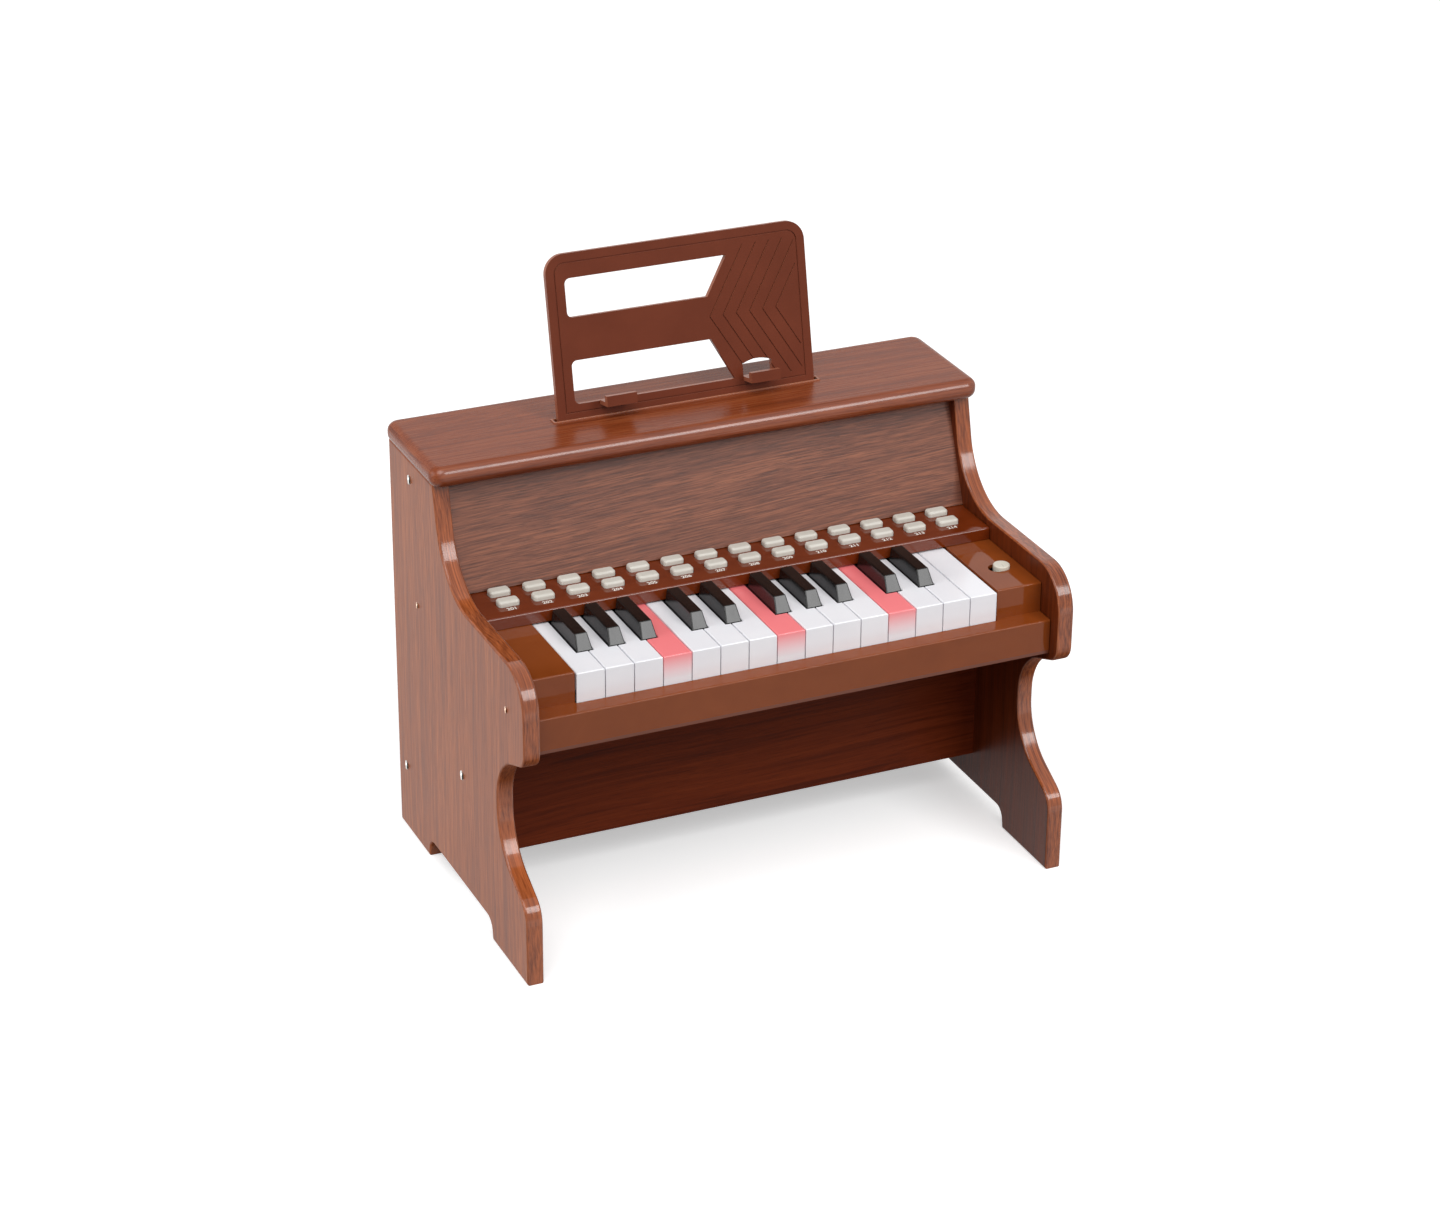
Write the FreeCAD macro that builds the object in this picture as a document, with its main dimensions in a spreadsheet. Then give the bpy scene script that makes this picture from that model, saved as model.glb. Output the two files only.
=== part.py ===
import FreeCAD, Part
import math
import os
import Sketcher

Vector = FreeCAD.Vector

# Counts of what repeats
white_count = 15
button_columns = 14
button_rows = 2
chevron_count = 6
grille_count = 8
full_turn = 360
sides = (-1, 1)

# Notes of the white keys from left to right, and the notes with a black key on their right
notes = "FGABCDEFGABCDEF"
sharp_shift_shares = {"F": -0.12, "G": 0.0, "A": 0.12, "C": -0.1, "D": 0.1}

# Places along the keys, as shares of the length that shows, and of the white keys' broad front
sharp_length_share = 0.62
plunger_share = 0.57

# Place of the power knob along the cheek
knob_place_share = 0.41

# Driving dimensions in millimetres, and angles in degrees
driving = {
    # cabinet
    "cabinet_width": 410,
    "cabinet_depth": 254,
    "panel_thickness": 12,
    "panel_edge_radius": 1.6,
    "bed_height": 169,
    "leg_recess": 52,
    "instep_height": 56.7,
    "instep_radius": 19,
    "calf_height": 83.9,
    "calf_radius": 46,
    "notch_drop": 21.8,
    "notch_radius": 42,
    "nose_drop": 2.1,
    "nose_radius": 13.5,
    "foot_front": 66.5,
    "foot_rear": 60.5,
    "arch_rise": 14.5,
    "arch_run": 2.5,
    "arch_radius": 9,
    "arm_cover": 5.3,
    "arm_radius": 30,
    "upright_depth": 106.2,
    "neck_radius": 55,
    "crown_run": 17.5,
    "crown_rise": 71.5,
    "board_thickness": 15,
    "board_overhang": 3,
    "board_depth": 99,
    "board_corner_radius": 9,
    "board_edge_radius": 6.5,
    "front_panel_thickness": 9,
    "front_panel_inset": 108,
    "front_panel_run": 30,
    "front_panel_gap": 0.6,
    "kick_setback": 115,
    "kick_clearance": 38,
    "back_panel_thickness": 9,
    "back_panel_inset": 11.5,
    "back_clearance": 38,
    "rail_inset": 47,
    "rail_height": 30,
    # keyboard case
    "case_gap": 0.5,
    "case_setback": 10.7,
    "case_back_gap": 17.8,
    "case_wall": 2.4,
    "shelf_rise": 25.7,
    "shelf_gap": 0.8,
    "cheek_width": 35,
    "cheek_rise": 48,
    "cheek_setback": 26,
    "cheek_gap": 0.6,
    "case_edge_radius": 1.2,
    "deck_rise": 57.2,
    "deck_inset": 150.5,
    "deck_depth": 50,
    "deck_thickness": 2.5,
    "deck_edge_radius": 1.5,
    "deck_lip_gap": 1.4,
    "deck_ledge": 5,
    "deck_post_radius": 2.2,
    # keys
    "key_gap": 0.8,
    "key_rise": 47,
    "key_height": 13,
    "key_skin": 2.2,
    "key_wall": 1.8,
    "key_setback": 25,
    "key_skirt": 13,
    "key_edge_radius": 0.8,
    "key_tail": 5,
    "sharp_width": 11.4,
    "sharp_top_width": 8.8,
    "sharp_height": 10,
    "sharp_slope": 6.8,
    "sharp_gap": 0.7,
    "sharp_end_gap": 1.2,
    "sharp_edge_radius": 0.9,
    "pivot_inset": 104,
    "pivot_rise": 6.5,
    "rod_radius": 1.5,
    "rod_clearance": 0.06,
    "cradle_thickness": 3.6,
    "plunger_length": 6,
    "sharp_plunger_setback": 8,
    "hollow_end": 12,
    # function buttons
    "button_margin": 16.8,
    "button_row_pitch": 17,
    "button_row_setback": 19,
    "button_width": 15.4,
    "button_depth": 9,
    "button_rise": 3.8,
    "button_corner_radius": 2.6,
    "button_crown_radius": 1.9,
    "button_clearance": 0.35,
    "button_flange": 1.2,
    "button_flange_height": 1,
    "button_stem": 4,
    "button_stem_height": 1.4,
    "button_seat_gap": 0.3,
    # power switch
    "knob_radius": 6,
    "knob_rise": 2.6,
    "knob_travel": 3.5,
    "knob_clearance": 0.35,
    "knob_inset": 14,
    "knob_edge_radius": 1,
    "switch_length": 16,
    "switch_width": 8,
    "switch_gap": 0.3,
    "switch_rise": 12,
    # circuit boards and contacts
    "circuit_thickness": 1.6,
    "main_board_drop": 4.3,
    "main_board_margin": 6,
    "main_board_gap": 1.8,
    "key_board_drop": 8.4,
    "key_board_margin": 2,
    "contact_base": 1.5,
    "contact_margin": 2,
    "dome_radius": 3.4,
    "dome_gap": 4.2,
    "light_size": 3,
    "light_height": 2,
    "light_gap": 3.3,
    "post_radius": 3.5,
    "post_inset": 22,
    # speaker, batteries and door
    "speaker_radius": 28.5,
    "speaker_rim": 3,
    "speaker_cone_height": 9,
    "magnet_radius": 15,
    "magnet_height": 8,
    "speaker_inset": 97.5,
    "bay_inset": 31.7,
    "grille_radius": 2.2,
    "grille_ring": 14,
    "cell_radius": 7.2,
    "cell_length": 50.5,
    "cell_nub_radius": 2.6,
    "cell_nub": 1.4,
    "cell_clearance": 0.35,
    "cell_end_gap": 0.4,
    "battery_inset": 97.5,
    "bay_wall": 2,
    "door_clearance": 0.3,
    # music stand
    "stand_lean": 12,
    "stand_inset": 53.2,
    "stand_width": 196.5,
    "stand_height": 116.5,
    "stand_thickness": 4,
    "stand_corner_radius": 14,
    "stand_tongue": 10,
    "stand_clearance": 0.3,
    "stand_slot_margin": 3.5,
    "window_margin": 13.5,
    "window_point": 21,
    "window_spread": 16.5,
    "upper_window_low": 71.5,
    "upper_window_high": 99,
    "lower_window_low": 10.5,
    "lower_window_high": 41.2,
    "window_corner_radius": 4,
    "groove_inset": 6,
    "groove_rise": 4.5,
    "groove_width": 1,
    "groove_depth": 0.7,
    "chevron_pitch": 10.2,
    "chevron_middle": 57,
    "chevron_reach": 48,
    "ledge_width": 22.5,
    "ledge_depth": 14.5,
    "ledge_thickness": 3,
    "ledge_lip": 4.5,
    "ledge_rise": 8,
    "left_ledge_inset": 32,
    "right_ledge_inset": 32,
    "ledge_window_height": 9,
    "ledge_window_crown": 5,
    # screws
    "screw_head_radius": 3.4,
    "screw_head_height": 2,
    "screw_radius": 1.7,
    "screw_length": 34,
    "screw_clearance": 0.05,
    "rail_screw_drop": 15,
    "back_screw_rise": 14,
    "kick_screw_rise": 64,
    "small_head_radius": 2.4,
    "small_head_height": 1.6,
    "small_screw_radius": 1.3,
    "small_screw_length": 20,
    "boss_radius": 4.5,
    "boss_length": 11,
    "front_boss_setback": 32.2,
    "rear_boss_inset": 50,
    "boss_rise": 26.5,
    "cut_overrun": 1,
}


class Term:
    # A length known both as a number and as the expression that gives it

    def __init__(self, text, number):
        self.text = text
        self.number = number

    def __add__(self, other):
        other = as_term(other)
        return Term(f"({self.text} + {other.text})", self.number + other.number)

    def __radd__(self, other):
        return as_term(other) + self

    def __sub__(self, other):
        other = as_term(other)
        return Term(f"({self.text} - {other.text})", self.number - other.number)

    def __rsub__(self, other):
        return as_term(other) - self

    def __mul__(self, share):
        share = as_term(share)
        return Term(f"({self.text} * {share.text})", self.number * share.number)

    def __rmul__(self, share):
        return self * share

    def __truediv__(self, share):
        share = as_term(share)
        return Term(f"({self.text} / {share.text})", self.number / share.number)

    def __neg__(self):
        return Term(f"(-{self.text})", -self.number)


def as_term(value):
    if isinstance(value, Term):
        return value
    return Term(f"({value!r})", value)


class Sizes:
    # The sheet of driving dimensions, one aliased cell each

    def __init__(self, document, values):
        sheet = document.addObject("Spreadsheet::Sheet", "Sizes")
        for row, (name, value) in enumerate(values.items(), start=1):
            sheet.set(f"A{row}", name)
            sheet.set(f"B{row}", str(value))
            sheet.setAlias(f"B{row}", name)
        document.recompute()
        for name in values:
            setattr(self, name, Term(f"Sizes.{name}", float(getattr(sheet, name))))


doc = FreeCAD.newDocument("ToyPiano")
s = Sizes(doc, driving)
nodes = {}

# Places shared by several pieces, measured from the front of the feet, the middle and the floor
front = -s.cabinet_depth / 2
rear = s.cabinet_depth / 2
outer_half = s.cabinet_width / 2
inner_half = outer_half - s.panel_thickness
case_half = inner_half - s.case_gap
keys_half = case_half - s.cheek_width
key_pitch = keys_half * 2 / white_count
shelf_top = s.bed_height + s.shelf_rise
cheek_top = s.bed_height + s.cheek_rise
key_top = s.bed_height + s.key_rise
key_base = key_top - s.key_height
deck_top = s.bed_height + s.deck_rise
deck_base = deck_top - s.deck_thickness
arm_height = deck_top + s.arm_cover
side_height = arm_height + s.crown_rise
floor_top = s.bed_height + s.case_wall
case_front = front + s.case_setback
case_rear = rear - s.back_panel_inset - s.back_panel_thickness - s.case_back_gap
cheek_front = front + s.cheek_setback
key_front = front + s.key_setback
deck_front = rear - s.deck_inset
deck_rear = deck_front + s.deck_depth
riser = deck_front + s.deck_thickness
sharp_front = deck_front - (deck_front - key_front) * sharp_length_share
broad_length = sharp_front - key_front
pivot_y = rear - s.pivot_inset
pivot_z = key_base + s.pivot_rise
main_board_top = deck_base - s.main_board_drop
key_board_top = key_base - s.key_board_drop
white_contact = key_front + broad_length * plunger_share + s.plunger_length / 2
black_contact = sharp_front + s.sharp_plunger_setback + s.plunger_length / 2
contact_front = white_contact - s.dome_radius - s.contact_margin
contact_rear = black_contact + s.dome_radius + s.contact_margin
light_row = contact_rear + s.light_gap + s.light_size / 2
key_board_front = contact_front - s.key_board_margin
key_board_rear = light_row + s.light_size / 2 + s.key_board_margin
knob_x = case_half - s.knob_inset
knob_y = cheek_front + (riser - cheek_front) * knob_place_share
bay_x = -(case_half - s.battery_inset)
bay_y = case_rear - s.bay_inset
speaker_x = case_half - s.speaker_inset


def keep(name, item):
    item.Label = name
    nodes[name] = item
    return item


def bind(item, **terms):
    for path, term in terms.items():
        item.setExpression(path.replace("_", "."), as_term(term).text)


def place(item, x, y, z):
    for axis, term in (("x", x), ("y", y), ("z", z)):
        item.setExpression(f"Placement.Base.{axis}", as_term(term).text)


def block(name, across, along, upward):
    item = doc.addObject("Part::Box", name)
    bind(item, Length=across[1] - across[0], Width=along[1] - along[0], Height=upward[1] - upward[0])
    place(item, across[0], along[0], upward[0])
    return item


turns = {
    "x": FreeCAD.Rotation(Vector(0, 1, 0), 90),
    "y": FreeCAD.Rotation(Vector(1, 0, 0), -90),
    "z": FreeCAD.Rotation(),
}


def round_bar(name, radius, length, x, y, z, axis="z"):
    item = doc.addObject("Part::Cylinder", name)
    item.Placement.Rotation = turns[axis]
    bind(item, Radius=radius, Height=length)
    place(item, x, y, z)
    return item


def fuse(name, items):
    item = doc.addObject("Part::MultiFuse", name)
    item.Shapes = items
    item.Refine = True
    return item


def group(name, items):
    item = doc.addObject("Part::Compound", name)
    item.Links = items
    return item


def cut(name, base, tools):
    tool = tools[0]
    if len(tools) > 1:
        tool = group(name + "_cuts", tools)
    item = doc.addObject("Part::Cut", name)
    item.Base = base
    item.Tool = tool
    item.Refine = True
    return item


def sketch_on(body, plane, name):
    sketch = body.newObject("Sketcher::SketchObject", name)
    role = plane + "_Plane"
    support = [item for item in body.Origin.OriginFeatures if item.Role == role][0]
    sketch.AttachmentSupport = (support, [""])
    sketch.MapMode = "FlatFace"
    return sketch


class Drawing:
    # Lines, arcs and their constraints, gathered and then given to a sketch at once

    def __init__(self, sketch):
        self.sketch = sketch
        self.constraints = []
        self.bound = {}

    def curve(self, geometry, construction=False):
        return self.sketch.addGeometry(geometry, construction)

    def tie(self, *values):
        self.constraints.append(Sketcher.Constraint(*values))

    def measure(self, term, *values):
        term = as_term(term)
        self.bound[len(self.constraints)] = term.text
        self.tie(*values, term.number)

    def pin(self, geometry, end, u, v):
        self.measure(u, "DistanceX", -1, 1, geometry, end)
        self.measure(v, "DistanceY", -1, 1, geometry, end)

    def finish(self):
        first = len(self.sketch.Constraints)
        self.sketch.addConstraint(self.constraints)
        for index, text in self.bound.items():
            self.sketch.setExpression(f"Constraints[{first + index}]", text)


def flat(u, v):
    return Vector(as_term(u).number, as_term(v).number, 0)


def corner_arc(before, here, after, radius):
    # Where a rounded corner starts, bends and ends, and whether it turns left
    into = (here - before).normalize()
    out = (after - here).normalize()
    run = radius * math.tan(into.getAngle(out) / 2)
    left = into.cross(out).z > 0
    start = here - into * run
    sideways = Vector(-into.y, into.x, 0) * (1 if left else -1)
    centre = start + sideways * radius
    bend = centre + (here - centre).normalize() * radius
    return start, bend, here + out * run, left


def outline(sketch, corners):
    # Closed loop of straight edges; a corner with a third value is rounded to that radius
    drawing = Drawing(sketch)
    count = len(corners)
    spots = [flat(*corner[:2]) for corner in corners]
    arcs = {}
    for index, corner in enumerate(corners):
        if len(corner) > 2:
            arcs[index] = corner_arc(spots[index - 1], spots[index], spots[(index + 1) % count],
                                     as_term(corner[2]).number)
    edges = []
    for index in range(count):
        begin = arcs[(index - 1) % count][2] if (index - 1) % count in arcs else spots[index - 1]
        end = arcs[index][0] if index in arcs else spots[index]
        edges.append(drawing.curve(Part.LineSegment(begin, end)))
    for index, corner in enumerate(corners):
        edge, following = edges[index], edges[(index + 1) % count]
        if index not in arcs:
            drawing.tie("Coincident", edge, 2, following, 1)
            drawing.pin(edge, 2, *corner)
            continue
        start, bend, end, left = arcs[index]
        arc = drawing.curve(Part.Arc(start, bend, end) if left else Part.Arc(end, bend, start))
        first, last = (1, 2) if left else (2, 1)
        drawing.tie("Tangent", edge, 2, arc, first)
        drawing.tie("Tangent", arc, last, following, 1)
        drawing.measure(corner[2], "Radius", arc)
        mark = drawing.curve(Part.Point(spots[index]), True)
        drawing.tie("PointOnObject", mark, 1, edge)
        drawing.tie("PointOnObject", mark, 1, following)
        drawing.pin(mark, 1, *corner[:2])
    drawing.finish()


def rectangle(sketch, across, along):
    left, right = across
    low, high = along
    outline(sketch, [(left, low), (right, low), (right, high), (left, high)])


def rounded_rectangle(across, along, radius):
    left, right = across
    low, high = along
    return [(left, low, radius), (right, low, radius), (right, high, radius), (left, high, radius)]


def circle(sketch, radius, u, v):
    drawing = Drawing(sketch)
    geometry = drawing.curve(Part.Circle(flat(u, v), Vector(0, 0, 1), as_term(radius).number))
    drawing.pin(geometry, 3, u, v)
    drawing.measure(radius, "Radius", geometry)
    drawing.finish()


def new_body(name):
    return doc.addObject("PartDesign::Body", name)


def pad(body, sketch, length, reverse=False, both_ways=False):
    feature = body.newObject("PartDesign::Pad", sketch.Name + "_pad")
    feature.Profile = sketch
    feature.Reversed = reverse
    feature.SideType = "Symmetric" if both_ways else "One side"
    bind(feature, Length=length)
    return feature


def refresh(body):
    doc.recompute(body.Group)


def pocket(body, sketch, length=None, reverse=False, both_ways=False):
    refresh(body)
    feature = body.newObject("PartDesign::Pocket", sketch.Name + "_pocket")
    feature.Profile = sketch
    feature.Reversed = reverse
    feature.SideType = "Symmetric" if both_ways else "One side"
    feature.Type = "ThroughAll"
    if length is not None:
        feature.Type = "Length"
        bind(feature, Length=length)
    return feature


def soften(body, radius, wanted, whole_faces=False):
    # Rounds the edges, or the rims of the faces, that the test picks out
    refresh(body)
    base = body.Tip
    kind = "Face" if whole_faces else "Edge"
    pieces = base.Shape.Faces if whole_faces else base.Shape.Edges
    names = [f"{kind}{index}" for index, piece in enumerate(pieces, start=1) if wanted(piece)]
    feature = body.newObject("PartDesign::Fillet", body.Name + "_rounds")
    feature.Base = (base, names)
    bind(feature, Radius=radius)
    return feature


def faces_along(direction):
    def test(face):
        middle = face.Surface.parameter(face.CenterOfMass)
        return abs(abs(face.normalAt(*middle).dot(direction)) - 1) < face.Tolerance
    return test


def top_face(body):
    refresh(body)
    height = body.Tip.Shape.BoundBox.ZMax

    def test(face):
        return face.BoundBox.ZMin > height - face.Tolerance
    return test


def profile(name, plane, corners, length, start):
    # A bar of constant section, standing on its sketch plane
    body = new_body(name)
    sketch = sketch_on(body, plane, name + "_section")
    outline(sketch, corners)
    pad(body, sketch, length, reverse=(plane == "XZ"))
    place(body, *start)
    return body


# Screw places on the side panels, as distance back from the feet's front and height
rail_screw = (rear - s.rail_inset + s.panel_thickness / 2, side_height - s.rail_screw_drop)
back_screw = (rear - s.back_panel_inset - s.back_panel_thickness / 2, s.back_clearance + s.back_screw_rise)
kick_screw = (front + s.kick_setback + s.panel_thickness / 2, s.kick_clearance + s.kick_screw_rise)
front_boss = (front + s.front_boss_setback, s.bed_height + s.boss_rise)
rear_boss = (rear - s.rear_boss_inset, s.bed_height + s.boss_rise)
cabinet_screw_places = (rail_screw, back_screw, kick_screw)
case_screw_places = (front_boss, rear_boss)


def screw(name, side, spot, head_radius, head_height, radius, length, clearance):
    # A flush screw through one side panel, or with a clearance, the hole for it
    y, z = spot
    start = outer_half - head_height
    tip = outer_half - length
    if side < 0:
        start, tip = -outer_half, -outer_half + head_height
    shank = length - head_height
    head = round_bar(name + "_head", head_radius + clearance, head_height, start, y, z, "x")
    stem = round_bar(name + "_stem", radius + clearance, shank, tip, y, z, "x")
    return fuse(name, [head, stem])


def cabinet_screw(name, side, spot, clearance=0):
    return screw(name, side, spot, s.screw_head_radius, s.screw_head_height, s.screw_radius,
                 s.screw_length, clearance)


def case_screw(name, side, spot, clearance=0):
    return screw(name, side, spot, s.small_head_radius, s.small_head_height, s.small_screw_radius,
                 s.small_screw_length, clearance)


def screw_holes(name, side):
    holes = []
    for index, spot in enumerate(cabinet_screw_places):
        holes.append(cabinet_screw(f"{name}_hole_{index}", side, spot, s.screw_clearance))
    for index, spot in enumerate(case_screw_places):
        holes.append(case_screw(f"{name}_small_hole_{index}", side, spot, s.screw_clearance))
    return holes


def side_panel(name, side):
    waist = front + s.leg_recess
    neck = rear - s.upright_depth
    arch_front = front + s.foot_front
    arch_rear = rear - s.foot_rear
    corners = [
        (front, 0),
        (front, s.instep_height, s.instep_radius),
        (waist, s.calf_height, s.calf_radius),
        (waist, s.bed_height - s.notch_drop, s.notch_radius),
        (front, s.bed_height - s.nose_drop, s.nose_radius),
        (front, arm_height, s.arm_radius),
        (neck, arm_height, s.neck_radius),
        (neck + s.crown_run, side_height),
        (rear, side_height),
        (rear, 0),
        (arch_rear, 0),
        (arch_rear - s.arch_run, s.arch_rise, s.arch_radius),
        (arch_front + s.arch_run, s.arch_rise, s.arch_radius),
        (arch_front, 0),
    ]
    body = new_body(name + "_blank")
    sketch = sketch_on(body, "YZ", name + "_section")
    outline(sketch, corners)
    pad(body, sketch, s.panel_thickness)
    soften(body, s.panel_edge_radius, faces_along(Vector(1, 0, 0)), whole_faces=True)
    place(body, inner_half if side > 0 else -outer_half, 0, 0)
    keep(name, cut(name, body, screw_holes(name, side)))


def top_board():
    name = "top_board"
    half = outer_half + s.board_overhang
    body = new_body(name)
    sketch = sketch_on(body, "XY", "top_board_plan")
    outline(sketch, rounded_rectangle((-half, half), (rear - s.board_depth, rear), s.board_corner_radius))
    pad(body, sketch, s.board_thickness)
    soften(body, s.board_edge_radius, faces_along(Vector(0, 0, 1)), whole_faces=True)
    # sloping groove that holds the music stand, cut down from the upper face
    groove = sketch_on(body, "YZ", "stand_slot")
    outline(groove, slot_section())
    pocket(body, groove, s.stand_width + s.stand_slot_margin * 2, both_ways=True)
    place(body, 0, 0, side_height)
    keep(name, body)


def stand_drift(depth):
    # How far the leaning stand comes forward over a depth below the board's upper face
    tangent = math.tan(math.radians(s.stand_lean.number))
    return depth * Term("tan(Sizes.stand_lean)", tangent)


def slot_section():
    upper = s.board_thickness + s.cut_overrun
    depth = s.stand_tongue + stand_drift(s.stand_thickness) + s.stand_clearance
    lower = s.board_thickness - depth
    near = rear - s.stand_inset - s.stand_clearance
    far = rear - s.stand_inset + s.stand_thickness + s.stand_clearance * 2
    above = stand_drift(s.cut_overrun)
    below = stand_drift(depth)
    return [(near - below, lower), (far - below, lower), (far + above, upper), (near + above, upper)]


def upper_front_panel():
    low = deck_top + s.front_panel_gap
    foot = rear - s.front_panel_inset
    head = foot + s.front_panel_run
    thick = s.front_panel_thickness
    corners = [(foot, low), (foot + thick, low), (head + thick, side_height), (head, side_height)]
    panel = profile("upper_front_panel", "YZ", corners, inner_half * 2, (-inner_half, 0, 0))
    keep("upper_front_panel", panel)


def end_holes(name, spot):
    return [cabinet_screw(f"{name}_end_{side}", side, spot, s.screw_clearance) for side in sides]


def plain_boards():
    across = (-inner_half, inner_half)
    kick_y = front + s.kick_setback
    kick = block("kick_board_blank", across, (kick_y, kick_y + s.panel_thickness),
                 (s.kick_clearance, s.bed_height))
    keep("kick_board", cut("kick_board", kick, end_holes("kick_board", kick_screw)))
    back_y = rear - s.back_panel_inset
    back = block("back_panel_blank", across, (back_y - s.back_panel_thickness, back_y),
                 (s.back_clearance, side_height))
    keep("back_panel", cut("back_panel", back, end_holes("back_panel", back_screw)))
    rail_y = rear - s.rail_inset
    rail = block("top_rail_blank", across, (rail_y, rail_y + s.panel_thickness),
                 (side_height - s.rail_height, side_height))
    keep("top_rail", cut("top_rail", rail, end_holes("top_rail", rail_screw)))


def smaller(a, b):
    return Term(f"min({a.text}; {b.text})", min(a.number, b.number))


def chevron(sketch, point):
    # One arrow-shaped groove, with its arms as steep as the windows' slanted ends
    slope = s.window_spread / (s.upper_window_high - s.upper_window_low)
    field_right = s.stand_width / 2 - s.groove_inset - s.groove_width * 3
    run = smaller(s.chevron_reach * slope, field_right - point)
    reach = run / slope
    level, width = s.chevron_middle, s.groove_width
    tip = point + run
    outline(sketch, [(point, level), (tip, level - reach), (tip + width, level - reach),
                     (point + width, level), (tip + width, level + reach), (tip, level + reach)])


def stand_outline(inset, low):
    half = s.stand_width / 2 - inset
    high = s.stand_height - inset
    radius = s.stand_corner_radius - inset
    return [(-half, low), (half, low), (half, high, radius), (-half, high, radius)]


def window_outline(low, high, flip):
    # Left end square with rounded corners, right end slanting to follow the chevrons
    left = -s.stand_width / 2 + s.window_margin
    radius = s.window_corner_radius
    near, far = s.window_point, s.window_point + s.window_spread
    low_end, high_end = (far, near) if flip else (near, far)
    return [(left, low, radius), (low_end, low), (high_end, high), (left, high, radius)]


def ledge(body, name, left):
    # Page ledge: a short shelf with an upturned lip, seen from the side
    sketch = sketch_on(body, "YZ", name)
    low = s.ledge_rise
    high = low + s.ledge_thickness
    reach = -s.ledge_depth
    lip_rear = reach + s.ledge_lip
    lip_top = high + s.ledge_lip
    outline(sketch, [(0, low), (0, high), (lip_rear, high), (lip_rear, lip_top),
                     (reach, lip_top), (reach, low)])
    refresh(body)
    shelf = pad(body, sketch, s.ledge_width)
    sketch.AttachmentOffset = FreeCAD.Placement(Vector(0, 0, left.number), FreeCAD.Rotation())
    sketch.setExpression("AttachmentOffset.Base.z", left.text)
    return shelf


def music_stand():
    name = "music_stand"
    body = new_body(name)
    plate = sketch_on(body, "XZ", "stand_plate")
    outline(plate, stand_outline(0, -s.stand_tongue))
    pad(body, plate, s.stand_thickness, reverse=True)
    windows = sketch_on(body, "XZ", "stand_windows")
    outline(windows, window_outline(s.upper_window_low, s.upper_window_high, False))
    outline(windows, window_outline(s.lower_window_low, s.lower_window_high, True))
    right_ledge = s.stand_width / 2 - s.right_ledge_inset - s.ledge_width
    left_ledge = -s.stand_width / 2 + s.left_ledge_inset
    # Low arched opening over the right ledge, as wide as the ledge
    half = s.ledge_width / 2
    sill = s.ledge_rise + s.ledge_thickness
    spring = sill + s.ledge_window_height
    crown = s.ledge_window_crown
    outline(windows, [(right_ledge, sill), (right_ledge + s.ledge_width, sill),
                      (right_ledge + s.ledge_width, spring),
                      (right_ledge + half, spring + crown, half * half / crown),
                      (right_ledge, spring)])
    pocket(body, windows, both_ways=True)
    border = sketch_on(body, "XZ", "stand_border")
    outline(border, stand_outline(s.groove_inset, s.groove_rise))
    outline(border, stand_outline(s.groove_inset + s.groove_width, s.groove_rise + s.groove_width))
    pocket(body, border, s.groove_depth)
    chevrons = sketch_on(body, "XZ", "stand_chevrons")
    for index in range(chevron_count):
        chevron(chevrons, s.window_point + s.chevron_pitch * index)
    pocket(body, chevrons, s.groove_depth)
    ledge(body, "left_ledge", left_ledge)
    ledge(body, "right_ledge", right_ledge)
    depth = rear - s.stand_inset
    height = side_height + s.board_thickness
    spot = f"create(<<vector>>; 0; {depth.text}; {height.text})"
    lean = "create(<<rotation>>; create(<<vector>>; 1; 0; 0); -Sizes.stand_lean)"
    body.setExpression("Placement", f"create(<<placement>>; {spot}; {lean})")
    keep(name, body)


# Buttons are spread evenly over the deck, between its two margins
first_button_x = -case_half + s.button_margin + s.button_width / 2
button_pitch = -first_button_x * 2 / (button_columns - 1)
first_button_y = deck_front + s.button_row_setback


def control_panel():
    name = "control_panel"
    body = new_body(name + "_blank")
    section = sketch_on(body, "YZ", "deck_section")
    lip = key_top + s.deck_lip_gap
    inner = deck_front + s.deck_thickness
    radius = s.deck_edge_radius
    outline(section, [(deck_front, lip), (inner, lip), (inner, deck_base), (deck_rear, deck_base),
                      (deck_rear, deck_top), (deck_front, deck_top, radius)])
    pad(body, section, case_half * 2, both_ways=True)
    holes = sketch_on(body, "XY", "button_hole")
    half_x = s.button_width / 2 + s.button_clearance
    half_y = s.button_depth / 2 + s.button_clearance
    x = first_button_x
    for row in range(button_rows):
        y = first_button_y + s.button_row_pitch * row
        outline(holes, rounded_rectangle((x - half_x, x + half_x), (y - half_y, y + half_y),
                                         s.button_corner_radius))
    hole = pocket(body, holes, reverse=True)
    pattern = body.newObject("PartDesign::LinearPattern", "button_holes")
    pattern.Originals = [hole]
    pattern.Direction = (holes, ["H_Axis"])
    pattern.Mode = "Spacing"
    pattern.Occurrences = button_columns
    bind(pattern, Offset=button_pitch)
    body.Tip = pattern
    # round posts between the two rows of buttons carry the circuit board
    edge = case_half - s.case_wall - s.main_board_margin - s.deck_post_radius * 2
    between = first_button_y + s.button_row_pitch / 2
    length = s.main_board_drop + s.deck_thickness / 2
    posts = [round_bar(f"deck_post_{index}", s.deck_post_radius, length, x, between, main_board_top)
             for index, x in enumerate((-edge, 0, edge))]
    keep(name, fuse(name, [body] + posts))


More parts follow.
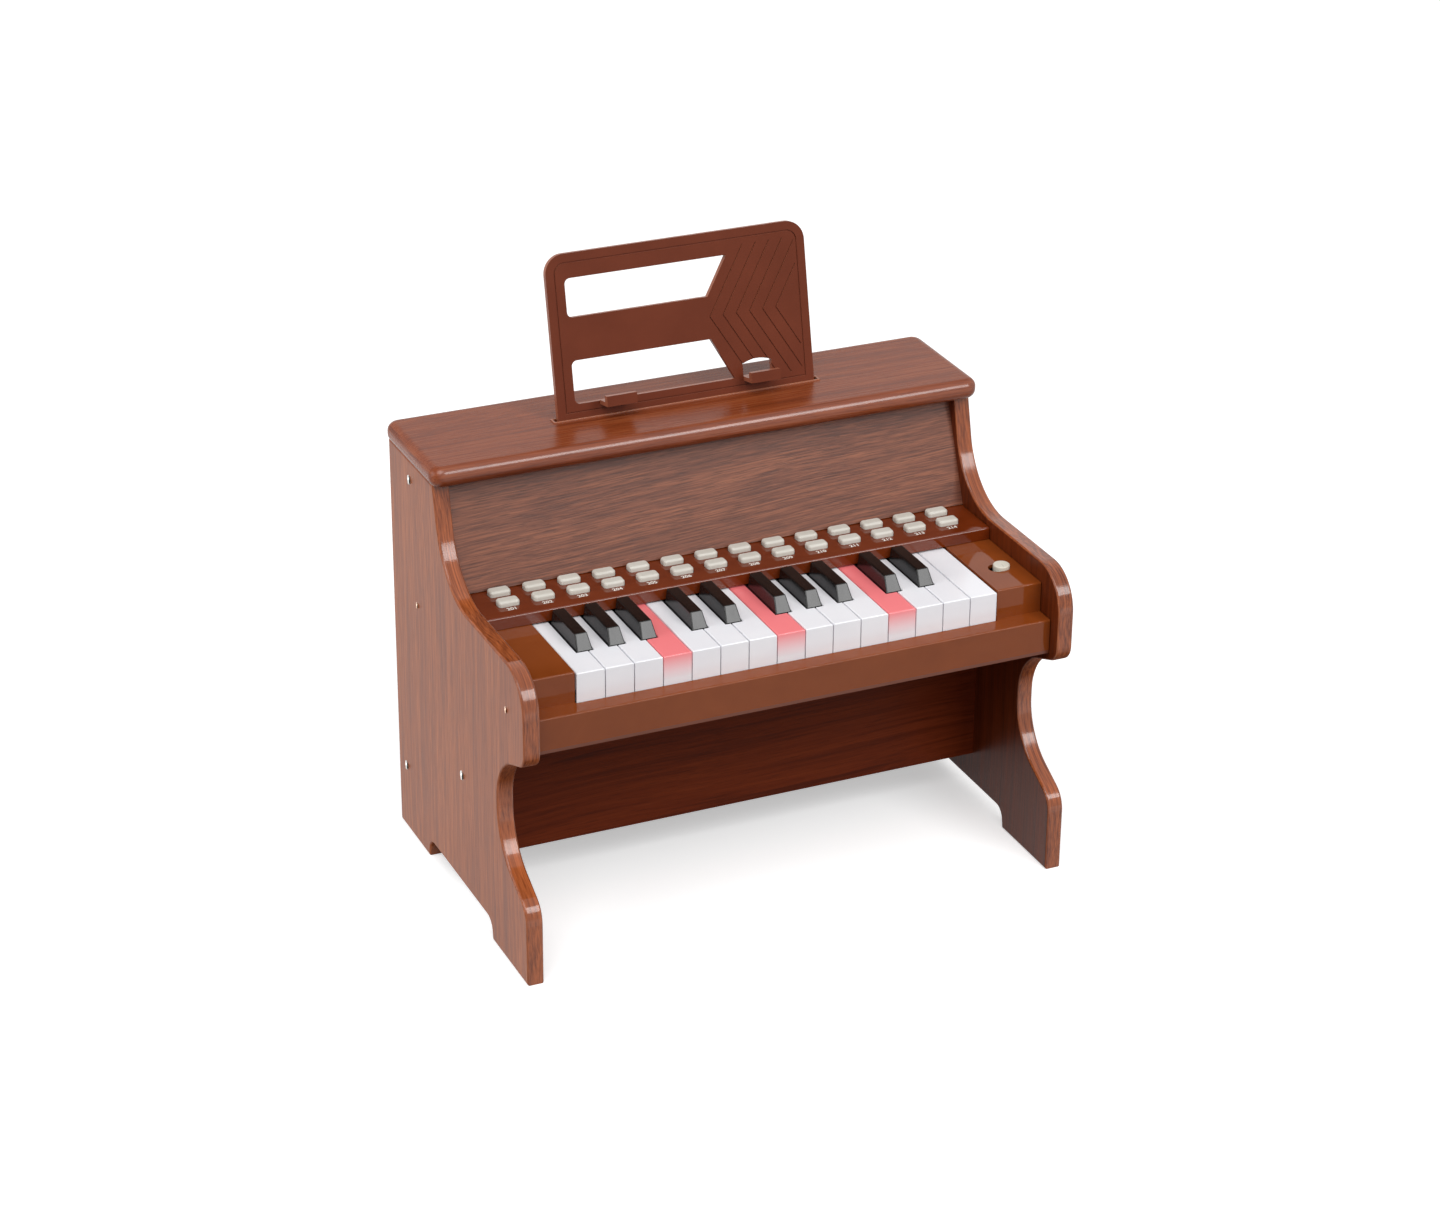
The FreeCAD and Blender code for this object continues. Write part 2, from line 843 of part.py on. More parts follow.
def button(name, x, y):
    # Pillow-shaped cap with a flange under the deck and a stem above the circuit board
    body = new_body(name)
    cap = sketch_on(body, "XY", name + "_cap")
    half_x, half_y = s.button_width / 2, s.button_depth / 2
    outline(cap, rounded_rectangle((-half_x, half_x), (-half_y, half_y), s.button_corner_radius))
    pad(body, cap, s.deck_thickness + s.button_seat_gap + s.button_rise)
    soften(body, s.button_crown_radius, top_face(body), whole_faces=True)
    flange = sketch_on(body, "XY", name + "_flange")
    rim = s.button_flange
    rectangle(flange, (-half_x - rim, half_x + rim), (-half_y - rim, half_y + rim))
    pad(body, flange, s.button_flange_height, reverse=True)
    stem = sketch_on(body, "XY", name + "_stem")
    rectangle(stem, (-s.button_stem / 2, s.button_stem / 2), (-s.button_stem / 2, s.button_stem / 2))
    pad(body, stem, s.button_flange_height + s.button_stem_height, reverse=True)
    place(body, x, y, deck_base - s.button_seat_gap)
    return body


def button_pairs():
    for column in range(button_columns):
        name = f"button_pair_{column + 1:02d}"
        x = first_button_x + button_pitch * column
        near = button(name + "_front", x, first_button_y)
        far = button(name + "_rear", x, first_button_y + s.button_row_pitch)
        keep(name, group(name, [near, far]))


def white_centre(index):
    return -keys_half + key_pitch * index + key_pitch / 2


def sharp_centres():
    # Middle of each black key, by the white key on its left
    centres = {}
    for index in range(white_count - 1):
        if notes[index] in sharp_shift_shares:
            edge = -keys_half + key_pitch * (index + 1)
            centres[index] = edge + key_pitch * sharp_shift_shares[notes[index]]
    return centres


def bore(body, name, depth):
    sketch = sketch_on(body, "YZ", name + "_bore")
    circle(sketch, s.rod_radius + s.rod_clearance, depth, s.pivot_rise)
    pocket(body, sketch, both_ways=True)


def white_key(index, centres):
    name = f"white_key_{index + 1:02d}"
    middle = white_centre(index)
    half = (key_pitch - s.key_gap) / 2
    left, right = -half, half
    clear = s.sharp_width / 2 + s.sharp_gap
    narrow_left, narrow_right = left, right
    if index - 1 in centres:
        narrow_left = centres[index - 1] + clear - middle
    if index in centres:
        narrow_right = centres[index] - clear - middle
    step = broad_length - s.sharp_gap
    length = pivot_y - key_front + s.key_tail
    corners = [(left, 0), (right, 0)]
    if index in centres:
        corners += [(right, step), (narrow_right, step)]
    corners += [(narrow_right, length), (narrow_left, length)]
    if index - 1 in centres:
        corners += [(narrow_left, step), (left, step)]
    body = new_body(name)
    plan = sketch_on(body, "XY", name + "_plan")
    outline(plan, corners)
    pad(body, plan, s.key_height)
    soften(body, s.key_edge_radius, top_face(body), whole_faces=True)
    # hollow from below, with a plunger left standing over the contact
    hollow = sketch_on(body, "XY", name + "_hollow")
    wall = s.key_wall
    rectangle(hollow, (left + wall, right - wall), (wall, broad_length * plunger_share))
    rectangle(hollow, (narrow_left + wall, narrow_right - wall), (step + wall, length - s.hollow_end))
    pocket(body, hollow, s.key_height - s.key_skin, reverse=True)
    skirt = sketch_on(body, "XY", name + "_skirt")
    rectangle(skirt, (left, right), (0, wall))
    pad(body, skirt, s.key_skirt, reverse=True)
    bore(body, name, pivot_y - key_front)
    place(body, middle, key_front, key_base)
    keep(name, body)


def sharp_crown(body, name):
    # The raised part, tapering to its top and sloping at the front
    crown = body.newObject("PartDesign::AdditiveWedge", name + "_crown")
    length = deck_front - s.sharp_end_gap - sharp_front
    half, top_half = s.sharp_width / 2, s.sharp_top_width / 2
    bind(crown, Xmin=-half, Xmax=half, X2min=-top_half, X2max=top_half, Ymin=0, Ymax=s.sharp_height,
         Zmin=0, Zmax=length, Z2min=0, Z2max=length - s.sharp_slope)
    crown.Placement.Rotation = FreeCAD.Rotation(Vector(1, 0, 0), 90)
    place(crown, 0, length, s.key_height)
    return crown


def crown_edge(edge):
    # Edges of the top and those that lead down from its corners
    return edge.BoundBox.ZMax > s.key_height.number + s.sharp_height.number / 2


def black_key(number, middle):
    name = f"black_key_{number:02d}"
    body = new_body(name)
    half = s.sharp_width / 2
    length = pivot_y - sharp_front + s.key_tail
    plan = sketch_on(body, "XY", name + "_plan")
    rectangle(plan, (-half, half), (0, length))
    pad(body, plan, s.key_height)
    sharp_crown(body, name)
    soften(body, s.sharp_edge_radius, crown_edge)
    hollow = sketch_on(body, "XY", name + "_hollow")
    wall = s.key_wall
    rectangle(hollow, (-half + wall, half - wall),
              (s.sharp_plunger_setback + s.plunger_length, length - s.hollow_end))
    pocket(body, hollow, s.key_height - s.key_skin, reverse=True)
    bore(body, name, pivot_y - sharp_front)
    place(body, middle, sharp_front, key_base)
    keep(name, body)


def keys():
    centres = sharp_centres()
    for index in range(white_count):
        white_key(index, centres)
    for number, index in enumerate(centres, start=1):
        black_key(number, centres[index])
    length = (keys_half + s.key_gap + s.cradle_thickness) * 2
    rod = round_bar("key_pivot_rod", s.rod_radius, length, -length / 2, pivot_y, pivot_z, "x")
    keep("key_pivot_rod", rod)


def case_steps(inset, low):
    # Stepped section of the case: slip, cheeks and rear hood
    return [
        (case_front + inset, low),
        (case_rear - inset, low),
        (case_rear - inset, deck_base - inset),
        (riser + inset, deck_base - inset),
        (riser + inset, cheek_top - inset),
        (cheek_front + inset, cheek_top - inset),
        (cheek_front + inset, shelf_top - inset),
        (case_front + inset, shelf_top - inset),
    ]


def case_top():
    name = "case_top"
    wall = s.case_wall
    shell = profile("case_shell", "YZ", case_steps(0, floor_top), case_half * 2, (-case_half, 0, 0))
    soften(shell, s.case_edge_radius, visible_case_edge)
    hollow = profile("case_hollow", "YZ", case_steps(wall, floor_top - s.cut_overrun),
                     (case_half - wall) * 2, (-case_half + wall, 0, 0))
    opening_half = keys_half + s.cheek_gap
    opening = block("key_opening", (-opening_half, opening_half),
                    (key_front - s.shelf_gap, riser + wall + s.cut_overrun),
                    (floor_top, cheek_top + s.cut_overrun))
    deck_hole = block("deck_opening", (-case_half + s.deck_ledge, case_half - s.deck_ledge),
                      (riser + wall, deck_rear - s.deck_ledge), (cheek_top - wall, deck_base + s.cut_overrun))
    slot = knob_slot()
    shell_cut = cut("case_shell_open", shell, [hollow, opening, deck_hole, slot])
    pieces = [shell_cut]
    for side in sides:
        inner, outer = opening_half, opening_half + wall
        across = (inner, outer) if side > 0 else (-outer, -inner)
        along = (cheek_front + wall / 2, riser + wall / 2)
        pieces.append(block(f"cheek_wall_{side}", across, along,
                            (key_board_top + s.contact_base, cheek_top - wall / 2)))
        for index, spot in enumerate(case_screw_places):
            start = case_half - s.boss_length if side > 0 else -case_half
            pieces.append(round_bar(f"case_boss_{side}_{index}", s.boss_radius, s.boss_length, start,
                                    spot[0], spot[1], "x"))
    whole = fuse("case_top_solid", pieces)
    holes = [case_screw(f"case_hole_{side}_{index}", side, spot, s.screw_clearance)
             for side in sides for index, spot in enumerate(case_screw_places)]
    keep(name, cut(name, whole, holes))


def visible_case_edge(edge):
    # Upper front edges of the slip and of the cheeks, which run from side to side
    middle = edge.CenterOfMass
    spots = ((case_front, shelf_top), (cheek_front, cheek_top))
    return any(abs(middle.y - y.number) < edge.Tolerance and abs(middle.z - z.number) < edge.Tolerance
               for y, z in spots)


def knob_slot():
    # Oblong hole in the right cheek, as long as the knob and its travel
    radius = s.knob_radius + s.knob_clearance
    depth = s.case_wall + s.cut_overrun * 2
    low = cheek_top - s.case_wall - s.cut_overrun
    off_x = knob_x - s.knob_travel
    on_end = round_bar("knob_slot_on", radius, depth, knob_x, knob_y, low)
    off_end = round_bar("knob_slot_off", radius, depth, off_x, knob_y, low)
    middle = block("knob_slot_middle", (off_x, knob_x), (knob_y - radius, knob_y + radius),
                   (low, low + depth))
    return fuse("knob_slot", [on_end, middle, off_end])


def power_switch_knob():
    name = "power_switch_knob"
    body = new_body(name)
    plan = sketch_on(body, "XY", "knob_plan")
    circle(plan, s.knob_radius, 0, 0)
    base = key_board_top + s.switch_rise + s.switch_gap
    pad(body, plan, cheek_top + s.knob_rise - base)
    soften(body, s.knob_edge_radius, top_face(body), whole_faces=True)
    place(body, knob_x, knob_y, base)
    keep(name, body)


def key_board():
    across = (-keys_half, case_half - s.case_wall - s.cheek_gap)
    board = block("key_board_sheet", across, (key_board_front, key_board_rear),
                  (key_board_top - s.circuit_thickness, key_board_top))
    switch = block("switch_body", (knob_x - s.knob_travel / 2 - s.switch_length / 2,
                                   knob_x - s.knob_travel / 2 + s.switch_length / 2),
                   (knob_y - s.switch_width / 2, knob_y + s.switch_width / 2),
                   (key_board_top - s.circuit_thickness / 2, key_board_top + s.switch_rise))
    pieces = [board, switch]
    y = light_row
    for index in range(white_count):
        x = white_centre(index)
        pieces.append(block(f"light_{index}", (x - s.light_size / 2, x + s.light_size / 2),
                            (y - s.light_size / 2, y + s.light_size / 2),
                            (key_board_top - s.circuit_thickness / 2, key_board_top + s.light_height)))
    keep("key_board", fuse("key_board", pieces))


def contact_strip():
    top = key_base - s.dome_gap
    base_top = key_board_top + s.contact_base
    pieces = [block("contact_base_sheet", (-keys_half, keys_half), (contact_front, contact_rear),
                    (key_board_top, base_top))]
    spots = [(white_centre(index), white_contact) for index in range(white_count)]
    spots += [(x, black_contact) for x in sharp_centres().values()]
    for index, (x, y) in enumerate(spots):
        pieces.append(round_bar(f"dome_{index}", s.dome_radius, top - key_board_top - s.contact_base / 2,
                                x, y, key_board_top + s.contact_base / 2))
    keep("contact_strip", fuse("contact_strip", pieces))


def main_board():
    half = case_half - s.case_wall - s.main_board_margin
    board = block("main_board", (-half, half),
                  (riser + s.case_wall + s.main_board_gap, deck_rear - s.deck_ledge - s.main_board_gap),
                  (main_board_top - s.circuit_thickness, main_board_top))
    keep("main_board", board)


def battery_bay():
    # Extents of the four cells, two long and two deep
    half_x = s.cell_length + s.cell_nub + s.cell_end_gap * 2
    half_y = s.cell_radius * 2 + s.cell_clearance + s.cell_clearance / 2
    height = s.cell_radius * 2 + s.cell_clearance * 2
    return half_x, half_y, height


def case_bottom():
    name = "case_bottom"
    half_x, half_y, height = battery_bay()
    sheet = block("case_floor", (-case_half, case_half), (case_front, case_rear), (s.bed_height, floor_top))
    bay = block("battery_box", (bay_x - half_x - s.bay_wall, bay_x + half_x + s.bay_wall),
                (bay_y - half_y - s.bay_wall, bay_y + half_y + s.bay_wall),
                (s.bed_height + s.case_wall / 2, floor_top + height + s.bay_wall))
    room = block("battery_room", (bay_x - half_x, bay_x + half_x), (bay_y - half_y, bay_y + half_y),
                 (s.bed_height - s.cut_overrun, floor_top + height))
    # one grille hole in the middle and a ring of them under the speaker
    through = s.case_wall + s.cut_overrun * 2
    low = s.bed_height - s.cut_overrun
    cuts = [room, round_bar("grille_middle", s.grille_radius, through, speaker_x, bay_y, low)]
    for index in range(grille_count):
        turn = FreeCAD.Rotation(Vector(0, 0, 1), full_turn / grille_count * index).multVec(Vector(1, 0, 0))
        cuts.append(round_bar(f"grille_{index}", s.grille_radius, through,
                              speaker_x + s.grille_ring * turn.x, bay_y + s.grille_ring * turn.y, low))
    pieces = [cut("case_floor_open", fuse("case_floor_box", [sheet, bay]), cuts)]
    for side in sides:
        for spot, y in enumerate((key_board_front + s.post_radius, key_board_rear - s.post_radius)):
            pieces.append(round_bar(f"board_post_{side}_{spot}", s.post_radius,
                                    key_board_top - s.circuit_thickness - floor_top + s.case_wall / 2,
                                    (keys_half - s.post_inset) * side, y, floor_top - s.case_wall / 2))
    for side in sides:
        inner = keys_half + s.key_gap
        outer = inner + s.cradle_thickness
        across = (inner, outer) if side > 0 else (-outer, -inner)
        cradle = block(f"rod_cradle_{side}_blank", across, (pivot_y - s.key_tail, pivot_y + s.key_tail),
                       (floor_top - s.case_wall / 2, pivot_z + s.key_tail))
        hole = round_bar(f"rod_hole_{side}", s.rod_radius + s.rod_clearance,
                         s.cradle_thickness + s.cut_overrun * 2, across[0] - s.cut_overrun,
                         pivot_y, pivot_z, "x")
        pieces.append(cut(f"rod_cradle_{side}", cradle, [hole]))
    keep(name, fuse(name, pieces))


def batteries():
    cells = []
    z = floor_top + s.cell_radius + s.cell_clearance
    for row in sides:
        y = bay_y + (s.cell_radius + s.cell_clearance / 2) * row
        for side in sides:
            nub_left = side * row > 0
            left = bay_x - s.cell_length - s.cell_nub - s.cell_end_gap
            if side > 0:
                left = bay_x + s.cell_end_gap
            start = left + s.cell_nub if nub_left else left
            nub = left if nub_left else left + s.cell_length - s.cell_nub
            name = f"cell_{row}_{side}"
            can = round_bar(name + "_can", s.cell_radius, s.cell_length, start, y, z, "x")
            cap = round_bar(name + "_nub", s.cell_nub_radius, s.cell_nub * 2, nub, y, z, "x")
            cells.append(fuse(name, [can, cap]))
    keep("batteries", group("batteries", cells))


def battery_door():
    half_x, half_y, _ = battery_bay()
    half_x = half_x - s.door_clearance
    half_y = half_y - s.door_clearance
    keep("battery_door", block("battery_door", (bay_x - half_x, bay_x + half_x),
                               (bay_y - half_y, bay_y + half_y), (s.bed_height, floor_top)))


def speaker():
    x = speaker_x
    rim = round_bar("speaker_rim", s.speaker_radius, s.speaker_rim, x, bay_y, floor_top)
    cone = doc.addObject("Part::Cone", "speaker_cone")
    bind(cone, Radius1=s.speaker_radius - s.speaker_rim, Radius2=s.magnet_radius,
         Height=s.speaker_cone_height)
    place(cone, x, bay_y, floor_top + s.speaker_rim)
    magnet = round_bar("speaker_magnet", s.magnet_radius, s.magnet_height, x, bay_y,
                       floor_top + s.speaker_rim + s.speaker_cone_height)
    keep("speaker", fuse("speaker", [rim, cone, magnet]))


def screws():
    large = []
    small = []
    for side in sides:
        for index, spot in enumerate(cabinet_screw_places):
            large.append(cabinet_screw(f"cabinet_screw_{side}_{index}", side, spot))
        for index, spot in enumerate(case_screw_places):
            small.append(case_screw(f"case_screw_{side}_{index}", side, spot))
    keep("cabinet_screws", group("cabinet_screws", large))
    keep("case_screws", group("case_screws", small))


side_panel("left_side_panel", -1)
side_panel("right_side_panel", 1)
top_board()
upper_front_panel()
plain_boards()
music_stand()
control_panel()
button_pairs()
keys()
case_top()
power_switch_knob()
key_board()
contact_strip()
main_board()
case_bottom()
batteries()
battery_door()
speaker()
screws()

doc.recompute()
failed = [f"{item.Label}: {item.getStatusString()}" for item in doc.Objects
          if "Invalid" in item.State or "Error" in item.State]
if failed:
    raise RuntimeError("failed pieces: " + "; ".join(failed))
for name, item in nodes.items():
    if item.Shape.isNull() or not item.Shape.isValid():
        raise RuntimeError(f"{name} has no valid shape")

os.makedirs("parts", exist_ok=True)
for name, item in nodes.items():
    item.Shape.exportStep(f"parts/{name}.step")
print(len(nodes), "sub-parts written")
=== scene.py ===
import math

import bmesh
import bpy
from mathutils import Matrix, Vector


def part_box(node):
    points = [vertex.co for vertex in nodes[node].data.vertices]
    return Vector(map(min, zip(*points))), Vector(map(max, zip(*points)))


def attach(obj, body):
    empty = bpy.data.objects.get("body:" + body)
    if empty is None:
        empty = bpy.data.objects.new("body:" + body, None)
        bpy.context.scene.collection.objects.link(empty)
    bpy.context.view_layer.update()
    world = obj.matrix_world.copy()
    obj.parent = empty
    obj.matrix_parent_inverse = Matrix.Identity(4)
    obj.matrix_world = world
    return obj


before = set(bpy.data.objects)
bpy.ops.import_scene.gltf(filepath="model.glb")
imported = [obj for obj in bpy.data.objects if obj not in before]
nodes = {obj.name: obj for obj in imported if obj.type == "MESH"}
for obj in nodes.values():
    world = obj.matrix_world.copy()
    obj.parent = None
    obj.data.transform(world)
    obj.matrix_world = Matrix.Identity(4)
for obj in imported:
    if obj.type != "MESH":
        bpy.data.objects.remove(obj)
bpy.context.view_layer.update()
print("frame loaded with", len(nodes), "nodes")

mm = 0.001  # metres
white, black = (1, 1, 1, 1), (0, 0, 0, 1)


def tint(red, green, blue):
    # screen values from 0 to 255, made linear for a shader
    return tuple(((c / 255 + 0.055) / 1.055) ** 2.4 for c in (red, green, blue)) + (1.0,)


cameraView = {
    "lens": 90.9,
    "azimuth": -24.32,
    "elevation": 26.0,
    "roll": 0.5,
    "aim": (-0.0143, -0.0154, 0.1964),
    "distance": 2.5368,
}


def addCamera(view):
    turn, tilt, roll = (math.radians(view[k]) for k in ("azimuth", "elevation", "roll"))
    reach = math.cos(tilt)
    back = Vector((math.sin(turn) * reach, -math.cos(turn) * reach, math.sin(tilt)))
    right = Vector((0, 0, 1)).cross(back).normalized()
    up = back.cross(right)
    rolledRight = right * math.cos(roll) + up * math.sin(roll)
    rolledUp = up * math.cos(roll) - right * math.sin(roll)
    place = Matrix((rolledRight, rolledUp, back)).transposed().to_4x4()
    place.translation = Vector(view["aim"]) + back * view["distance"]
    data = bpy.data.cameras.new("photoCamera")
    data.lens = view["lens"]
    camera = bpy.data.objects.new("photoCamera", data)
    bpy.context.scene.collection.objects.link(camera)
    camera.matrix_world = place
    bpy.context.scene.camera = camera


addCamera(cameraView)
bpy.context.scene.view_settings.view_transform = "Standard"


# small helpers for node trees
def feed(tree, socket, value):
    # another node's output is linked, anything else is set on the socket
    if isinstance(value, bpy.types.NodeSocket):
        tree.links.new(value, socket)
    else:
        socket.default_value = value


def combine(tree, operation, first, second):
    sums = tree.nodes.new("ShaderNodeMath")
    sums.operation = operation
    feed(tree, sums.inputs[0], first)
    feed(tree, sums.inputs[1], second)
    return sums.outputs[0]


def fromMiddle(tree, value):
    distance = tree.nodes.new("ShaderNodeMath")
    distance.operation = "ABSOLUTE"
    tree.links.new(value, distance.inputs[0])
    return distance.outputs[0]


def spread(tree, value, low, high, toLow=0.0, toHigh=1.0):
    level = tree.nodes.new("ShaderNodeMapRange")
    limits = (("From Min", low), ("From Max", high), ("To Min", toLow), ("To Max", toHigh))
    for label, number in limits:
        level.inputs[label].default_value = number
    tree.links.new(value, level.inputs["Value"])
    return level.outputs["Result"]


def ramp(tree, value, *stops):
    node = tree.nodes.new("ShaderNodeValToRGB")
    marks = node.color_ramp.elements
    while len(marks) < len(stops):
        marks.new(0.5)  # gets its place below
    for mark, (at, colour) in zip(marks, stops):
        mark.position = at
        mark.color = colour
    tree.links.new(value, node.inputs["Fac"])
    return node.outputs["Color"]


def mixColour(tree, amount, first, second):
    mix = tree.nodes.new("ShaderNodeMix")
    mix.data_type = "RGBA"
    # sockets 6 and 7 are the two colours, and output 2 is their mix
    for place, value in ((0, amount), (6, first), (7, second)):
        feed(tree, mix.inputs[place], value)
    return mix.outputs[2]


def startMaterial(name):
    mat = bpy.data.materials.new(name)
    mat.use_nodes = True
    return mat, mat.node_tree, mat.node_tree.nodes["Principled BSDF"]


studio = {
    "roomLevel": 0.3,        # the room's light on the object
    "backgroundLevel": 1.0,  # what camera and glossy rays see
    "floorTint": tint(240, 240, 240),
    "floorShade": tint(108, 106, 104),  # what the floor sends back to the object
    "floorLift": 0.45,       # brings the floor to white for the camera
    "floorRoughness": 0.9,
    "floorSize": 14.0,
    "floorDrop": 0.2 * mm,   # keeps it just clear of the feet
    "skylight": {"from": (-0.5, -0.85, 1.5), "strength": 1.42, "angle": 45},
    "lamps": (
        # name, place, aim, width, height, watts
        ("keyBox", (0.72, -1.45, 1.37), (0, -0.05, 0.22), 0.85, 0.85, 17.0),
        ("leftBox", (-2.2, 0.25, 0.85), (-0.2, 0, 0.2), 1.4, 1.4, 24.0),
    ),
}


def hangLamp(lamp, place, direction):
    holder = bpy.data.objects.new(lamp.name, lamp)
    bpy.context.scene.collection.objects.link(holder)
    holder.location = place
    holder.rotation_euler = direction.to_track_quat("-Z", "Y").to_euler()


def addLamp(name, place, aim, width, height, watts):
    lamp = bpy.data.lights.new(name, "AREA")
    lamp.shape = "RECTANGLE"
    lamp.size, lamp.size_y, lamp.energy = width, height, watts
    hangLamp(lamp, place, Vector(aim) - Vector(place))


def addSkylight(look):
    lamp = bpy.data.lights.new("skylight", "SUN")
    lamp.energy, lamp.angle = look["strength"], math.radians(look["angle"])
    hangLamp(lamp, (0, 0, 0), -Vector(look["from"]))


def seenShare(tree):
    # 1 for what the camera, reflections and clear things see, 0 for the light on the object
    path = tree.nodes.new("ShaderNodeLightPath").outputs
    seen = combine(tree, "MAXIMUM", path["Is Camera Ray"], path["Is Glossy Ray"])
    return combine(tree, "MAXIMUM", seen, path["Is Transmission Ray"])


def addRoom(look):
    room = bpy.data.worlds.new("studioRoom")
    bpy.context.scene.world = room
    room.use_nodes = True
    tree = room.node_tree
    sky = tree.nodes["Background"]
    sky.inputs["Color"].default_value = white
    level = spread(tree, seenShare(tree), 0.0, 1.0, look["roomLevel"], look["backgroundLevel"])
    tree.links.new(level, sky.inputs["Strength"])


def addFloor(look):
    bpy.ops.object.select_all(action="DESELECT")
    bpy.ops.mesh.primitive_plane_add(size=look["floorSize"], location=(0, 0, -look["floorDrop"]))
    floor = bpy.context.object
    floor.name = "studioFloor"
    mat, tree, shader = startMaterial("paleFloor")
    colour = mixColour(tree, seenShare(tree), look["floorShade"], look["floorTint"])
    tree.links.new(colour, shader.inputs["Base Color"])
    shader.inputs["Roughness"].default_value = look["floorRoughness"]
    shader.inputs["Specular IOR Level"].default_value = 0.0
    shader.inputs["Emission Color"].default_value = white
    lift = spread(tree, seenShare(tree), 0.0, 1.0, 0.0, look["floorLift"])
    tree.links.new(lift, shader.inputs["Emission Strength"])
    # seen from below, the floor is clear and shows the underside
    clear = tree.nodes.new("ShaderNodeBsdfTransparent")
    either = tree.nodes.new("ShaderNodeMixShader")
    tree.links.new(tree.nodes.new("ShaderNodeNewGeometry").outputs["Backfacing"], either.inputs[0])
    tree.links.new(shader.outputs[0], either.inputs[1])
    tree.links.new(clear.outputs[0], either.inputs[2])
    tree.links.new(either.outputs[0], tree.nodes["Material Output"].inputs["Surface"])
    floor.data.materials.append(mat)


for lampRow in studio["lamps"]:
    addLamp(*lampRow)
addSkylight(studio["skylight"])
addRoom(studio)
addFloor(studio)
print("camera, lamps and floor set")


# effects that several materials share
def startGroup(name, inputs, outputs):
    group = bpy.data.node_groups.new(name, "ShaderNodeTree")
    for label, kind in inputs:
        group.interface.new_socket(name=label, in_out="INPUT", socket_type=kind)
    for label in outputs:
        group.interface.new_socket(name=label, in_out="OUTPUT", socket_type="NodeSocketFloat")
    return group, group.nodes.new("NodeGroupInput"), group.nodes.new("NodeGroupOutput")


def stretchedNoise(tree, vector, stretch, detail, roughness, distortion):
    scaled = tree.nodes.new("ShaderNodeVectorMath")
    scaled.operation = "MULTIPLY"
    scaled.inputs[1].default_value = stretch
    tree.links.new(vector, scaled.inputs[0])
    noise = tree.nodes.new("ShaderNodeTexNoise")
    noise.inputs["Scale"].default_value = 1.0
    noise.inputs["Detail"].default_value = detail
    noise.inputs["Roughness"].default_value = roughness
    noise.inputs["Distortion"].default_value = distortion
    tree.links.new(scaled.outputs[0], noise.inputs["Vector"])
    return noise.outputs["Fac"]


noiseRange = (0.3, 0.7)  # where nearly all of a noise's values lie

woodFigureLook = {
    # repeats per metre along the grain (x) and across it, then detail, roughness and distortion
    "sway": ((3.2, 11.0, 11.0), 1.0, 0.5, 0.0),
    "bands": ((2.4, 56.0, 56.0), 4.0, 0.6, 1.1),
    "streaks": ((5.0, 230.0, 230.0), 3.0, 0.55, 0.5),
    "lines": ((22.0, 900.0, 900.0), 3.0, 0.6, 0.3),
    "pores": ((50.0, 1500.0, 1500.0), 2.0, 0.5, 0.0),
    "poreRange": (0.54, 0.66),
    "swayReach": 4.5 * mm,  # how far the grain wanders to each side
}


def makeWoodFigure(look):
    group, given, out = startGroup(
        "woodFigure",
        (("Vector", "NodeSocketVector"), ("Sway", "NodeSocketFloat")),
        ("Band", "Streak", "Line", "Pore", "Height"),
    )
    reach = look["swayReach"]
    wander = stretchedNoise(group, given.outputs["Vector"], *look["sway"])
    wander = spread(group, wander, *noiseRange, -reach, reach)
    sway = combine(group, "MULTIPLY", wander, given.outputs["Sway"])
    aside = group.nodes.new("ShaderNodeCombineXYZ")
    group.links.new(sway, aside.inputs["Y"])
    group.links.new(sway, aside.inputs["Z"])
    swayed = group.nodes.new("ShaderNodeVectorMath")  # adds the two
    group.links.new(given.outputs["Vector"], swayed.inputs[0])
    group.links.new(aside.outputs[0], swayed.inputs[1])
    parts = {}
    for label, row, limits in (
        ("Band", "bands", noiseRange),
        ("Streak", "streaks", noiseRange),
        ("Line", "lines", noiseRange),
        ("Pore", "pores", look["poreRange"]),
    ):
        noise = stretchedNoise(group, swayed.outputs[0], *look[row])
        parts[label] = spread(group, noise, *limits)
        group.links.new(parts[label], out.inputs[label])
    height = combine(group, "SUBTRACT", parts["Line"], parts["Pore"])
    group.links.new(height, out.inputs["Height"])
    return group


mouldedSkinLook = {
    # repeats per metre, then detail, roughness and distortion
    "cloud": ((30.0, 30.0, 30.0), 3.0, 0.5, 0.4),
    "smear": ((160.0, 60.0, 60.0), 4.0, 0.6, 0.8),
    "grain": ((2600.0, 2600.0, 2600.0), 2.0, 0.5, 0.0),
}


def makeMouldedSkin(look):
    # slow colour drift, wiped-over gloss and the fine skin of a moulding
    group, given, out = startGroup(
        "mouldedSkin", (("Vector", "NodeSocketVector"),), ("Cloud", "Smear", "Grain")
    )
    cloud, smear, grain = (
        stretchedNoise(group, given.outputs["Vector"], *look[row])
        for row in ("cloud", "smear", "grain")
    )
    group.links.new(spread(group, cloud, *noiseRange), out.inputs["Cloud"])
    group.links.new(spread(group, smear, *noiseRange), out.inputs["Smear"])
    group.links.new(grain, out.inputs["Grain"])
    return group


woodFigure = makeWoodFigure(woodFigureLook)
mouldedSkin = makeMouldedSkin(mouldedSkinLook)
print("shared effects ready")


